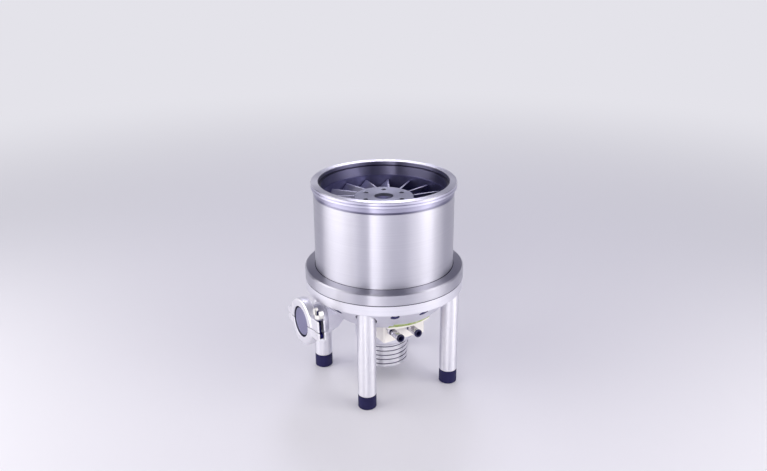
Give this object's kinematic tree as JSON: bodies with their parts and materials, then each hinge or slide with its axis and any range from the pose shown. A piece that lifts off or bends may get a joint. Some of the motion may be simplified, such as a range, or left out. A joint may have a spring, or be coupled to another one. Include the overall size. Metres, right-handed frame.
{
  "type": "turbomolecular pump",
  "caption": "Turbomolecular pump with a wide claw-flange inlet, bladed rotor, conical base, clamped side port, cooling block and post legs with rubber feet.",
  "frame": {"origin": "centre of the inlet flange's sealing face", "axes": "+Z out of the inlet along the rotor's axis, -X along the foreline port, -Y along the water fittings"},
  "size_m": [0.355, 0.324, 0.4352],
  "materials": {
    "casing_aluminium": "fine turned, satin bright",
    "base_aluminium": "machined casting, satin",
    "sump_aluminium": "turned, satin grey",
    "leg_aluminium": "turned bar, satin bright",
    "foot_rubber": "smooth moulded, dark navy",
    "screw_steel": "stainless, plain",
    "stud_steel": "zinc plated",
    "seal_rubber": "smooth fluoroelastomer",
    "pad_silicone": "soft, matt yellow-green",
    "cooling_paint": "smooth semi-gloss, cream white",
    "fitting_nickel": "nickel plated, dull",
    "collar_plastic": "smooth, dark navy",
    "blank_steel": "turned stainless, satin",
    "clamp_aluminium": "die cast, tumbled bright",
    "clamp_steel": "blackened",
    "rotor_aluminium": "machined, dull grey",
    "shaft_steel": "ground",
    "stator_aluminium": "machined, dull grey",
    "motor_iron": "varnished stack and windings",
    "magnet_nickel": "nickel plated",
    "bearing_steel": "ground and polished",
    "connector_metal": "plated, satin",
    "contact_brass": "gold flashed pins"
  },
  "bodies": {
    "pump": {"base_housing": "base_aluminium", "bearing_balls": "bearing_steel", "bearing_carrier": "base_aluminium", "bearing_outer_rings": "bearing_steel", "blank_flange": "blank_steel", "casing_screws": "screw_steel", "casing_seal": "seal_rubber", "centring_ring": "blank_steel", "clamp_bolt_pin": "clamp_steel", "clamp_link": "clamp_aluminium", "clamp_link_pins": "clamp_steel", "clamp_lower": "clamp_aluminium", "connector_contacts": "contact_brass", "connector_screws": "screw_steel", "cooling_block": "cooling_paint", "cooling_screws": "screw_steel", "foot_front": "foot_rubber", "foot_left": "foot_rubber", "foot_rear": "foot_rubber", "foot_right": "foot_rubber", "foot_studs": "stud_steel", "foreline_port": "base_aluminium", "foreline_seal": "seal_rubber", "hose_fitting_left": "fitting_nickel", "hose_fitting_right": "fitting_nickel", "inlet_casing": "casing_aluminium", "leg_front": "leg_aluminium", "leg_left": "leg_aluminium", "leg_rear": "leg_aluminium", "leg_right": "leg_aluminium", "leg_studs": "stud_steel", "motor_housing": "base_aluminium", "motor_stator": "motor_iron", "plate_screws": "screw_steel", "power_connector": "connector_metal", "stack_spacer": "stator_aluminium", "stator_disc_1": "stator_aluminium", "stator_disc_2": "stator_aluminium", "stator_disc_3": "stator_aluminium", "stator_disc_4": "stator_aluminium", "sump_cover": "sump_aluminium", "sump_screws": "screw_steel", "thermal_pad": "pad_silicone"},
    "rotor": {"rotor_bell": "rotor_aluminium", "rotor_screws": "screw_steel", "rotor_shaft": "shaft_steel", "motor_magnet": "magnet_nickel", "bearing_inner_rings": "bearing_steel", "rotor_disc_1": "rotor_aluminium", "rotor_disc_2": "rotor_aluminium", "rotor_disc_3": "rotor_aluminium", "rotor_disc_4": "rotor_aluminium", "rotor_disc_5": "rotor_aluminium"},
    "bolt": {"clamp_bolt": "clamp_steel"},
    "washer": {"clamp_washer": "clamp_steel"},
    "nut": {"wing_nut": "clamp_aluminium"},
    "clamp_top": {"clamp_upper": "clamp_aluminium"},
    "collar_left": {"release_collar_left": "collar_plastic"},
    "collar_right": {"release_collar_right": "collar_plastic"}
  },
  "joints": [
    {"name": "rotor_spin", "type": "hinge", "parent": "pump", "child": "rotor", "pos_m": [0, 0, 0], "axis": [0, 0, 1], "continuous": true},
    {"name": "bolt_swing", "type": "hinge", "parent": "pump", "child": "bolt", "pos_m": [-0.183, -0.06753, -0.26673], "axis": [1, 0, 0], "range_deg": [0, 95]},
    {"name": "nut_travel", "type": "slide", "parent": "bolt", "child": "washer", "axis": [0, 0.0872, 0.9962], "range_m": [0, 0.01]},
    {"name": "nut_spin", "type": "hinge", "parent": "washer", "child": "nut", "pos_m": [-0.183, -0.06753, -0.26673], "axis": [0, 0.0872, 0.9962], "range_deg": [0, 2880]},
    {"name": "clamp_open", "type": "hinge", "parent": "pump", "child": "clamp_top", "pos_m": [-0.183, 0.05748, -0.2606], "axis": [-1, 0, 0], "range_deg": [0, 4.02]},
    {"name": "collar_left_slide", "type": "slide", "parent": "pump", "child": "collar_left", "axis": [0, 1, 0], "range_m": [0, 0.0015], "stiffness_N_per_m": 200, "springref_m": -0.001},
    {"name": "collar_right_slide", "type": "slide", "parent": "pump", "child": "collar_right", "axis": [0, 1, 0], "range_m": [0, 0.0015], "stiffness_N_per_m": 200, "springref_m": -0.001}
  ],
  "couplings": [
    {"joint": "nut_spin", "follows": "nut_travel", "rad_per_m": 5026.5},
    {"joint": "clamp_open", "follows": "nut_travel", "rad_per_m": 7}
  ]
}
